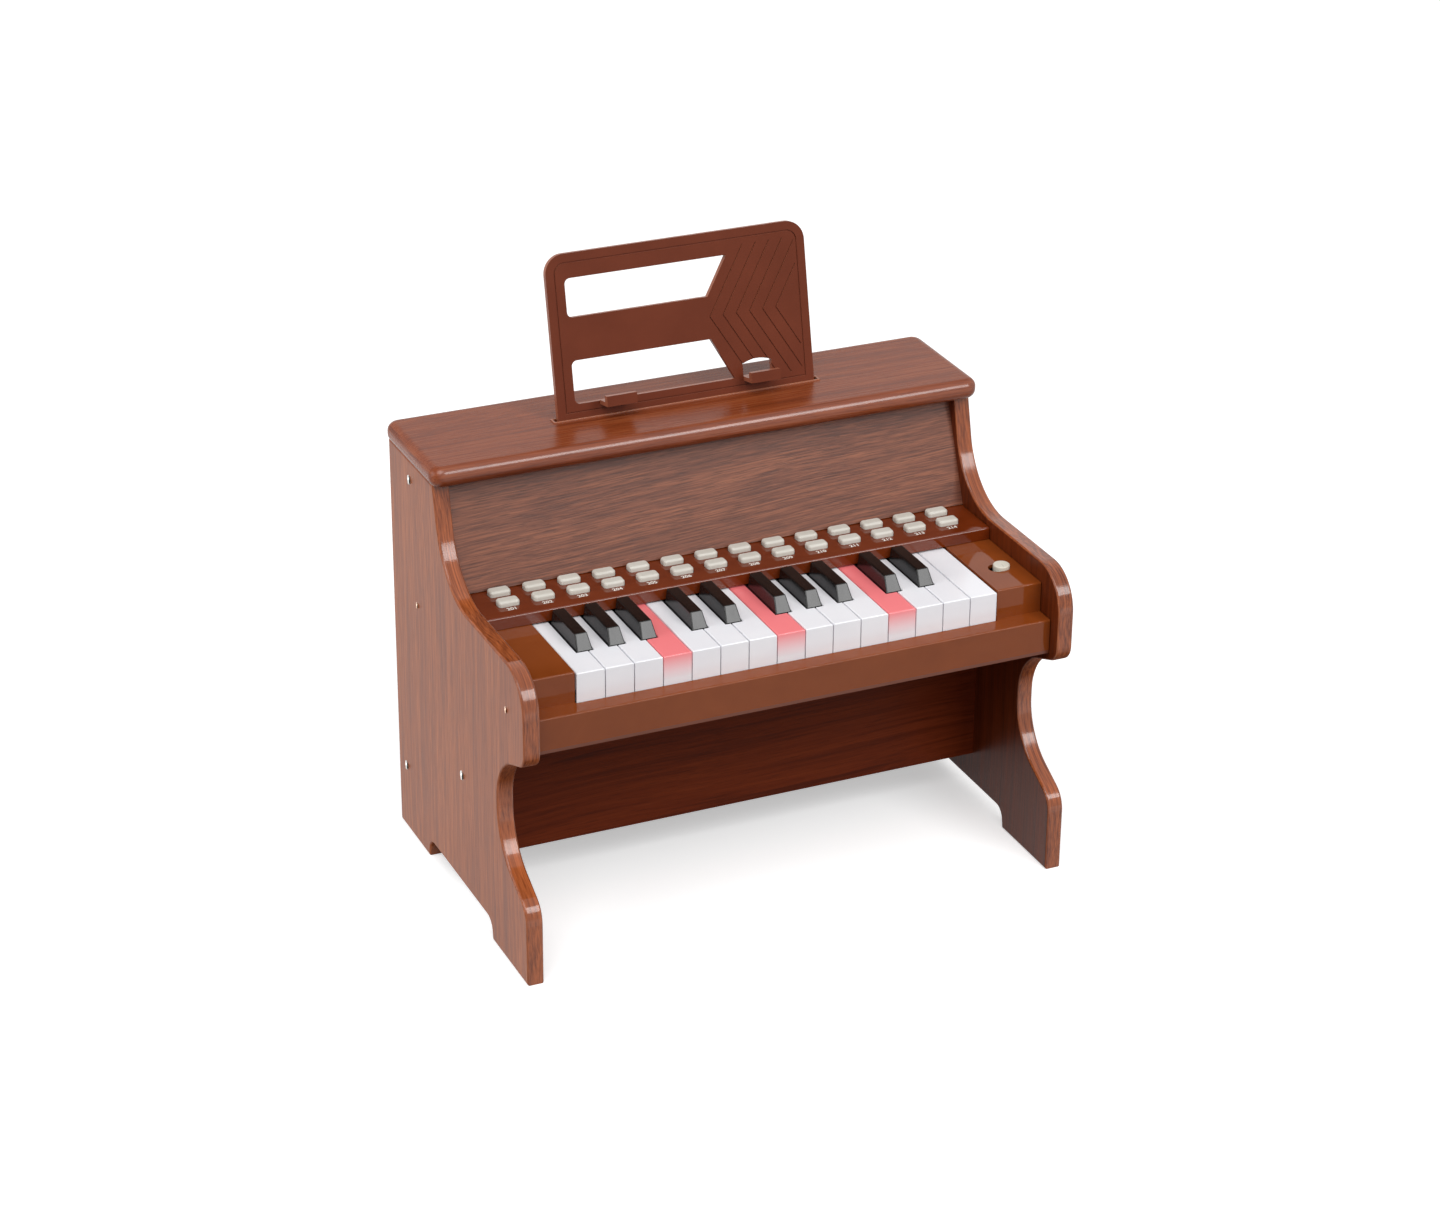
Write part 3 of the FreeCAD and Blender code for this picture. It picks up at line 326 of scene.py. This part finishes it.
def objectPlace(tree, turn=(0, 0, 0), shift=(0, 0, 0), scale=(1, 1, 1)):
    place = tree.nodes.new("ShaderNodeTexCoord")
    mapping = tree.nodes.new("ShaderNodeMapping")
    mapping.inputs["Rotation"].default_value = [math.radians(a) for a in turn]
    mapping.inputs["Location"].default_value = shift
    mapping.inputs["Scale"].default_value = scale
    tree.links.new(place.outputs["Object"], mapping.inputs["Vector"])
    return mapping.outputs["Vector"]


def placeParts(tree):
    parts = tree.nodes.new("ShaderNodeSeparateXYZ")
    tree.links.new(tree.nodes.new("ShaderNodeTexCoord").outputs["Object"], parts.inputs[0])
    return parts.outputs


def addFigure(tree, vector, sway=1.0):
    figure = tree.nodes.new("ShaderNodeGroup")
    figure.node_tree = woodFigure
    figure.inputs["Sway"].default_value = sway
    tree.links.new(vector, figure.inputs["Vector"])
    return figure.outputs


def addSkin(tree):
    skin = tree.nodes.new("ShaderNodeGroup")
    skin.node_tree = mouldedSkin
    tree.links.new(objectPlace(tree), skin.inputs["Vector"])
    return skin.outputs


def addBump(tree, shader, height, strength, depth):
    bump = tree.nodes.new("ShaderNodeBump")
    bump.inputs["Strength"].default_value = strength
    bump.inputs["Distance"].default_value = depth
    tree.links.new(height, bump.inputs["Height"])
    tree.links.new(bump.outputs["Normal"], shader.inputs["Normal"])


def facing(tree, look):
    # the share of a surface that looks towards one side
    turned = tree.nodes.new("ShaderNodeVectorMath")
    turned.operation = "DOT_PRODUCT"
    tree.links.new(tree.nodes.new("ShaderNodeNewGeometry").outputs["Normal"], turned.inputs[0])
    turned.inputs[1].default_value = look["towards"]
    return spread(tree, turned.outputs["Value"], look["from"], look["to"])


# turns that lay the grain along an axis
alongX, alongY, alongZ = (0, 0, 0), (0, 0, 90), (0, 90, 0)

surface = {
    "ior": 1.5,
    "toneStops": (0.18, 0.5, 0.82),  # where the dark, middle and light wood tones stand
    "woodBump": 0.12,
    "woodDepth": 0.15 * mm,
    "skinDepth": 0.05 * mm,
}


def wrappedEdge(tree, edge):
    # the lacquered edge between a panel's two faces: its share, the share of the inner face, which
    # gets painted shade, and a grain that follows the edge's curve
    parts = placeParts(tree)
    across = fromMiddle(tree, parts["X"])
    inner, outer, soft = edge["inner"], edge["outer"], edge["soft"]
    rise = spread(tree, across, inner, inner + soft)
    fall = spread(tree, across, outer - soft, outer, 1.0, 0.0)
    along = tree.nodes.new("ShaderNodeCombineXYZ")
    run = combine(tree, "SUBTRACT", parts["Z"], parts["Y"])
    tree.links.new(combine(tree, "MULTIPLY", run, edge["quicken"]), along.inputs["X"])
    tree.links.new(parts["X"], along.inputs["Y"])
    figure = addFigure(tree, along.outputs[0])
    tone = combine(tree, "ADD", figure["Band"], figure["Line"])
    tone = combine(tree, "MULTIPLY", tone, 0.5)  # the mean of the two
    wrap = ramp(tree, tone, *zip(edge["stops"], (edge["dark"], edge["light"])))
    inside = spread(tree, across, inner - edge["margin"], inner, 1.0, 0.0)
    return combine(tree, "MULTIPLY", rise, fall), inside, wrap


def boardEnd(tree, look):
    # the board's two ends: their share, and a grain that runs along them
    end = look["end"]
    share = spread(tree, fromMiddle(tree, placeParts(tree)["X"]), end["from"], end["to"])
    figure = addFigure(tree, objectPlace(tree, alongY))
    tones = (look["dark"], look["mid"], look["light"])
    return share, ramp(tree, figure["Line"], *zip(end["stops"], tones))


def woodMaterial(name, look):
    mat, tree, shader = startMaterial(name)
    grain = objectPlace(tree, look["turn"], look["shift"], look["scale"])
    figure = addFigure(tree, grain, look["sway"])
    band, streak, line = (
        combine(tree, "MULTIPLY", figure[label], share)
        for label, share in zip(("Band", "Streak", "Line"), look["shares"])
    )
    mixed = combine(tree, "ADD", combine(tree, "ADD", band, streak), line)
    dark, mid, light = surface["toneStops"]
    body = ramp(tree, mixed, (dark, look["dark"]), (mid, look["mid"]), (light, look["light"]))
    poreCover = combine(tree, "MULTIPLY", figure["Pore"], look["poreCover"])
    colour = mixColour(tree, poreCover, body, look["pore"])
    gloss = spread(tree, mixed, 0.0, 1.0, *look["gloss"])
    if "coat" in look:
        coat = facing(tree, look["coat"])
        if "edge" in look:
            edge, inner = look["edge"], look["inside"]
            rim, inside, wrap = wrappedEdge(tree, edge)
            # painted shade: the inner face gets darker tints, standing in for the shade between the
            # legs and under the case
            shaded = ramp(tree, mixed, (dark, inner["dark"]), (light, inner["light"]))
            colour = mixColour(tree, inside, colour, shaded)
            colour = mixColour(tree, rim, colour, wrap)
            coat = combine(tree, "MULTIPLY", rim, coat)
            dull = combine(tree, "SUBTRACT", rim, coat)
            gloss = combine(tree, "SUBTRACT", gloss, combine(tree, "MULTIPLY", coat, edge["polish"]))
            gloss = combine(tree, "ADD", gloss, combine(tree, "MULTIPLY", dull, edge["raw"]))
        weight = combine(tree, "MULTIPLY", coat, look["coat"]["weight"])
        tree.links.new(weight, shader.inputs["Coat Weight"])
        shader.inputs["Coat Roughness"].default_value = look["coat"]["roughness"]
    if "end" in look:
        share, endColour = boardEnd(tree, look)
        colour = mixColour(tree, share, colour, endColour)
    tree.links.new(colour, shader.inputs["Base Color"])
    tree.links.new(gloss, shader.inputs["Roughness"])
    shader.inputs["IOR"].default_value = surface["ior"]
    shader.inputs["Specular IOR Level"].default_value = look["shine"]
    addBump(tree, shader, figure["Height"], surface["woodBump"], surface["woodDepth"])
    return mat


def plasticMaterial(name, look):
    mat, tree, shader = startMaterial(name)
    skin = addSkin(tree)
    body = ramp(tree, skin["Cloud"], (0.0, look["dark"]), (1.0, look["light"]))
    # painted highlight: surfaces that face the given side are mixed towards a paler tint, as if lit
    # from there
    if "rubbed" in look:
        body = mixColour(tree, facing(tree, look["rubbed"]), body, look["rubbed"]["tint"])
    tree.links.new(body, shader.inputs["Base Color"])
    gloss = spread(tree, skin["Smear"], 0.0, 1.0, *look["gloss"])
    tree.links.new(gloss, shader.inputs["Roughness"])
    shader.inputs["IOR"].default_value = surface["ior"]
    shader.inputs["Specular IOR Level"].default_value = look["shine"]
    addBump(tree, shader, skin["Grain"], look["skin"], surface["skinDepth"])
    return mat


def metalMaterial(name, look):
    mat = plasticMaterial(name, look)
    mat.node_tree.nodes["Principled BSDF"].inputs["Metallic"].default_value = 1.0
    return mat


woodLooks = {
    "sideWood": {
        "turn": alongZ, "shift": (0, 0, 0), "scale": (1, 1, 1), "sway": 1.0,
        "shares": (0.3, 0.3, 0.4),  # of bands, streaks and lines
        "poreCover": 0.4, "gloss": (0.3, 0.38), "shine": 0.15,
        "dark": tint(116, 59, 33), "mid": tint(150, 82, 47), "light": tint(178, 106, 66),
        "pore": tint(92, 46, 27),
        # inner and outer are measured from the middle, and the edge fades in over soft, the inner
        # face over margin; lacquer takes polish off the roughness, a bare underside adds raw to it
        "edge": {
            "inner": 193.2 * mm, "outer": 204.8 * mm, "soft": 0.8 * mm, "margin": 0.1 * mm,
            "polish": 0.18, "raw": 0.4,
            "quicken": 4.0,  # shortens the figure along the curve
            "stops": (0.2, 0.8), "dark": tint(92, 38, 15), "light": tint(180, 97, 53),
        },
        # painted shade: darker tints for the panel's inner face, which stands in the shade under the
        # case
        "inside": {"dark": tint(74, 28, 10), "light": tint(118, 52, 22)},
        # the undersides stay dull
        "coat": {"towards": (0, 0, 1), "from": -0.35, "to": 0.1, "weight": 0.75, "roughness": 0.1},
    },
    "topWood": {
        "turn": alongX, "shift": (0.3, 0.2, 0), "scale": (1, 1, 1), "sway": 1.0,
        "shares": (0.3, 0.3, 0.4),
        "poreCover": 0.4, "gloss": (0.23, 0.31), "shine": 0.21,
        "dark": tint(104, 46, 22), "mid": tint(132, 63, 32), "light": tint(150, 79, 44),
        "pore": tint(80, 35, 19),
        "end": {"from": 203.5 * mm, "to": 206.0 * mm, "stops": (0.1, 0.5, 0.9)},
        # the rounded nose has more lacquer
        "coat": {
            "towards": (0, -0.84, 0.54), "from": 0.75, "to": 0.95, "weight": 0.85, "roughness": 0.22,
        },
    },
    "frontWood": {
        "turn": (0, 2.0, 0), "shift": (0.1, 0.6, 0.2), "scale": (1.3, 1.0, 1.0), "sway": 0.35,
        "shares": (0.2, 0.25, 0.55),
        "poreCover": 0.6, "gloss": (0.32, 0.42), "shine": 0.3,
        "dark": tint(88, 54, 44), "mid": tint(122, 75, 58), "light": tint(150, 95, 71),
        "pore": tint(72, 45, 37),
    },
    # painted shade: the kick board's tints are darker than the other wood, standing in for the shade
    # under the key slip's overhang
    "shadedKickWood": {
        "turn": (0, 1.0, 0), "shift": (0.7, 0.1, 0.5), "scale": (1, 1, 1), "sway": 1.0,
        "shares": (0.3, 0.5, 0.2),
        "poreCover": 0.3, "gloss": (0.3, 0.4), "shine": 0.06,
        "dark": tint(84, 31, 14), "mid": tint(110, 44, 21), "light": tint(122, 52, 26),
        "pore": tint(64, 24, 12),
    },
    "backWood": {
        "turn": alongX, "shift": (0.4, 0.9, 0.3), "scale": (1, 1, 1), "sway": 1.0,
        "shares": (0.4, 0.3, 0.3),
        "poreCover": 0.4, "gloss": (0.36, 0.46), "shine": 0.35,
        "dark": tint(108, 58, 38), "mid": tint(132, 76, 50), "light": tint(150, 90, 60),
        "pore": tint(84, 46, 34),
    },
}


def moulded(dark, light, gloss, skin, shine):
    # two tints, the range of roughness, how strong the fine skin is, and the specular level
    return {"dark": tint(*dark), "light": tint(*light), "gloss": gloss, "skin": skin, "shine": shine}


plasticLooks = {
    "casePlastic": moulded((128, 61, 22), (137, 67, 26), (0.04, 0.07), 0.02, 0.19),
    "deckPlastic": moulded((104, 40, 11), (114, 46, 15), (0.05, 0.08), 0.02, 0.5),
    "standPlastic": moulded((104, 49, 31), (112, 54, 35), (0.28, 0.36), 0.1, 0.12),
    "innerPlastic": moulded((94, 44, 22), (104, 50, 27), (0.34, 0.44), 0.14, 0.4),
    "whiteKey": moulded((241, 241, 246), (246, 246, 250), (0.16, 0.24), 0.03, 0.5),
    "blackKey": moulded((9, 8, 8), (16, 15, 14), (0.14, 0.22), 0.06, 0.4),
    "buttonRubber": moulded((202, 198, 188), (212, 209, 200), (0.42, 0.55), 0.2, 0.4),
    "knobCream": moulded((208, 203, 188), (216, 211, 197), (0.24, 0.34), 0.06, 0.5),
    "trimPlastic": moulded((150, 88, 62), (160, 98, 70), (0.2, 0.28), 0.04, 0.5),
    "numberInk": moulded((236, 231, 222), (244, 241, 234), (0.4, 0.5), 0.1, 0.4),
    "boardGreen": moulded((20, 74, 44), (28, 92, 54), (0.26, 0.36), 0.12, 0.5),
    "contactRubber": moulded((62, 62, 64), (76, 76, 78), (0.55, 0.7), 0.2, 0.4),
}
# painted highlight: the walls of the stand's windows and grooves that face up and left are painted
# paler, as if lit from the upper left
plasticLooks["standPlastic"]["rubbed"] = {
    "towards": (-0.6, 0.0, 0.8), "from": 0.35, "to": 0.75, "tint": tint(158, 96, 72),
}
metalLooks = {
    "screwSteel": moulded((206, 204, 200), (228, 227, 224), (0.28, 0.4), 0.06, 0.5),
    "brownScrew": moulded((206, 172, 150), (224, 194, 172), (0.24, 0.34), 0.08, 0.5),
    "rodSteel": moulded((176, 178, 180), (200, 202, 204), (0.22, 0.36), 0.08, 0.5),
    "cellCan": moulded((178, 142, 66), (198, 162, 84), (0.22, 0.34), 0.05, 0.5),
    "speakerMetal": moulded((70, 70, 72), (92, 92, 94), (0.34, 0.48), 0.1, 0.5),
}
finishes = {name: woodMaterial(name, look) for name, look in woodLooks.items()}
finishes.update({name: plasticMaterial(name, look) for name, look in plasticLooks.items()})
finishes.update({name: metalMaterial(name, look) for name, look in metalLooks.items()})

litKeys = ("white_key_04", "white_key_08", "white_key_12")
litKey = {
    "glow": tint(243, 120, 124),
    "deepGlow": tint(232, 94, 97),  # at the key's back end
    "plain": tint(242, 242, 247),
    "fadeFrom": 198.5 * mm,  # height on the front face where the red has gone
    "fadeTo": 217.2 * mm,
    "strength": 0.1,
    "gloss": (0.16, 0.24),
    "skin": 0.03,
}


def litKeyMaterial(look):
    mat, tree, shader = startMaterial("litKey")
    skin, parts = addSkin(tree), placeParts(tree)
    height = spread(tree, parts["Z"], look["fadeFrom"], look["fadeTo"])
    front, back = (corner.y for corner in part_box(litKeys[0]))
    glow = mixColour(tree, spread(tree, parts["Y"], front, back), look["glow"], look["deepGlow"])
    body = mixColour(tree, height, look["plain"], glow)
    tree.links.new(body, shader.inputs["Base Color"])
    shining = ramp(tree, height, (0.0, black), (1.0, look["glow"]))
    tree.links.new(shining, shader.inputs["Emission Color"])
    shader.inputs["Emission Strength"].default_value = look["strength"]
    gloss = spread(tree, skin["Smear"], 0.0, 1.0, *look["gloss"])
    tree.links.new(gloss, shader.inputs["Roughness"])
    addBump(tree, shader, skin["Grain"], look["skin"], surface["skinDepth"])
    return mat


finishes["litKey"] = litKeyMaterial(litKey)

nodeFinish = {
    "left_side_panel": "sideWood", "right_side_panel": "sideWood", "top_board": "topWood",
    "upper_front_panel": "frontWood", "kick_board": "shadedKickWood", "back_panel": "backWood",
    "top_rail": "backWood", "music_stand": "standPlastic", "control_panel": "deckPlastic",
    "case_top": "casePlastic", "case_bottom": "innerPlastic", "battery_door": "innerPlastic",
    "power_switch_knob": "knobCream", "key_pivot_rod": "rodSteel", "key_board": "boardGreen",
    "main_board": "boardGreen", "contact_strip": "contactRubber", "batteries": "cellCan",
    "speaker": "speakerMetal", "cabinet_screws": "screwSteel", "case_screws": "brownScrew",
}
familyFinish = {"white_key": "whiteKey", "black_key": "blackKey", "button_pair": "buttonRubber"}


def finishFor(name):
    if name in litKeys:
        return finishes["litKey"]
    return finishes[nodeFinish.get(name) or familyFinish[name.rsplit("_", 1)[0]]]


for nodeName, node in nodes.items():
    if not node.material_slots:
        node.data.materials.append(None)
    for nodeSlot in node.material_slots:
        nodeSlot.material = finishFor(nodeName)
print("materials on all nodes")


# new pieces, all on the cabinet
def startPiece():
    if bpy.context.object and bpy.context.object.mode != "OBJECT":
        bpy.ops.object.mode_set(mode="OBJECT")
    bpy.ops.object.select_all(action="DESELECT")


def only(*pieces):
    startPiece()
    for piece in pieces:
        piece.select_set(True)
    bpy.context.view_layer.objects.active = pieces[0]


def applyPlace():
    bpy.ops.object.transform_apply(location=True, rotation=True, scale=True)


def pickFaces(piece, test):
    bpy.ops.object.mode_set(mode="EDIT")
    bpy.ops.mesh.select_mode(type="FACE")
    bpy.ops.mesh.select_all(action="DESELECT")
    mesh = bmesh.from_edit_mesh(piece.data)
    for face in mesh.faces:
        face.select_set(test(face))
    bmesh.update_edit_mesh(piece.data)


def looksUp(face):
    return face.normal.z > 0.9


def smooth(angle):
    bpy.ops.object.shade_smooth_by_angle(angle=math.radians(angle))


def finishPiece(piece, name, finish):
    only(piece)
    applyPlace()
    piece.name = piece.data.name = name
    piece.data.materials.clear()
    piece.data.materials.append(finishes[finish])
    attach(piece, "cabinet")
    print("made", name, "with", len(piece.data.polygons), "faces")


def joinPieces(pieces):
    only(*pieces)
    bpy.ops.object.join()
    return bpy.context.object


slotTrim = {
    "halfLength": 102.2 * mm,
    "front": 72.2 * mm,
    "back": 79.8 * mm,
    "lip": 1.3 * mm,
    "height": 0.9 * mm,
    "round": 0.35 * mm,
    "roundSteps": 3,
    "smoothAngle": 40,  # degrees
}


def makeSlotTrim(look):
    # the thin frame round the music stand's slot
    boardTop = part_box("top_board")[1].z
    startPiece()
    middle = (look["front"] + look["back"]) / 2
    bpy.ops.mesh.primitive_plane_add(size=1, location=(0, middle, boardTop))
    trim = bpy.context.object
    trim.scale = (2 * look["halfLength"], look["back"] - look["front"], 1)
    applyPlace()
    pickFaces(trim, lambda face: True)
    bpy.ops.mesh.inset(thickness=look["lip"])
    bpy.ops.mesh.delete(type="FACE")
    bpy.ops.mesh.select_all(action="SELECT")
    bpy.ops.mesh.extrude_region_move(TRANSFORM_OT_translate={"value": (0, 0, look["height"])})
    bpy.ops.mesh.select_all(action="SELECT")
    bpy.ops.mesh.normals_make_consistent(inside=False)
    pickFaces(trim, looksUp)
    bpy.ops.mesh.bevel(offset=look["round"], segments=look["roundSteps"])
    bpy.ops.object.mode_set(mode="OBJECT")
    smooth(look["smoothAngle"])
    finishPiece(trim, "standSlotTrim", "trimPlastic")


makeSlotTrim(slotTrim)

deckNumbers = {
    "size": 5.0 * mm,
    "thickness": 0.05 * mm,
    "weight": 0.07 * mm,
    "firstX": -168.0 * mm,
    "pitch": 25.846 * mm,
    "columns": 14,
    "rows": ((101, 2.4 * mm), (201, -14.4 * mm)),  # first number, and how far back it stands
}


def makeDeckNumbers(look):
    # plain running numbers in front of the buttons
    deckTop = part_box("control_panel")[1].z
    made = []
    for first, y in look["rows"]:
        for column in range(look["columns"]):
            startPiece()
            bpy.ops.object.text_add(location=(look["firstX"] + column * look["pitch"], y, deckTop))
            text = bpy.context.object.data
            text.body = str(first + column)
            text.size = look["size"]
            text.align_x = "CENTER"
            text.extrude = look["thickness"]
            text.offset = look["weight"]
            bpy.ops.object.convert(target="MESH")
            applyPlace()
            made.append(bpy.context.object)
    finishPiece(joinPieces(made), "deckNumbers", "numberInk")


makeDeckNumbers(deckNumbers)

# recess: length, width and depth of the cross; places: y and z on each side panel
cabinetScrews = {
    "radius": 3.3 * mm,
    "rise": 0.9 * mm,
    "recess": (4.0 * mm, 0.9 * mm, 0.6 * mm),
    "places": ((86 * mm, 288 * mm), (111 * mm, 52 * mm), (-6 * mm, 102 * mm)),
}
caseScrews = {
    "radius": 2.3 * mm,
    "rise": 0.7 * mm,
    "recess": (2.8 * mm, 0.7 * mm, 0.45 * mm),
    "places": ((-94.8 * mm, 195.5 * mm), (77 * mm, 195.5 * mm)),
}
screwShape = {
    # angles are in degrees
    "sides": 32,
    "dome": 0.72,  # share of the rise that is rounded
    "domeSteps": 4,
    "smoothAngle": 35,
    "crossTurn": 28,
    "layDown": 90,  # from standing on z = 0 to standing on a side panel
}


def makeScrewHead(look):
    # a low domed head with a cross recess, standing on z = 0
    startPiece()
    rise = look["rise"]
    bpy.ops.mesh.primitive_cylinder_add(
        vertices=screwShape["sides"], radius=look["radius"], depth=rise, location=(0, 0, rise / 2)
    )
    head = bpy.context.object
    pickFaces(head, looksUp)
    bpy.ops.mesh.bevel(offset=rise * screwShape["dome"], segments=screwShape["domeSteps"])
    bpy.ops.object.mode_set(mode="OBJECT")
    length, width, depth = look["recess"]
    for slit in ((length, width), (width, length)):
        startPiece()
        bpy.ops.mesh.primitive_cube_add(size=1, location=(0, 0, rise))
        cutter = bpy.context.object
        cutter.scale = (*slit, 2 * depth)
        applyPlace()
        only(head)
        cut = head.modifiers.new("cross", "BOOLEAN")
        cut.operation = "DIFFERENCE"
        cut.solver = "EXACT"
        cut.object = cutter
        bpy.ops.object.modifier_apply(modifier=cut.name)
        bpy.data.objects.remove(cutter)
    only(head)
    smooth(screwShape["smoothAngle"])
    return head


def makeScrewHeads(look, name, finish):
    head = makeScrewHead(look)
    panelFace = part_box("right_side_panel")[1].x
    made = []
    for side in (-1, 1):
        for y, z in look["places"]:
            only(head)
            bpy.ops.object.duplicate()
            copy = bpy.context.object
            copy.location = (side * panelFace, y, z)
            turns = (screwShape["crossTurn"], screwShape["layDown"], 0)
            copy.rotation_euler = [math.radians(a * side) for a in turns]
            applyPlace()
            made.append(copy)
    bpy.data.objects.remove(head)
    finishPiece(joinPieces(made), name, finish)


makeScrewHeads(cabinetScrews, "cabinetScrewHeads", "screwSteel")
makeScrewHeads(caseScrews, "caseScrewHeads", "brownScrew")
startPiece()
print("pieces made")
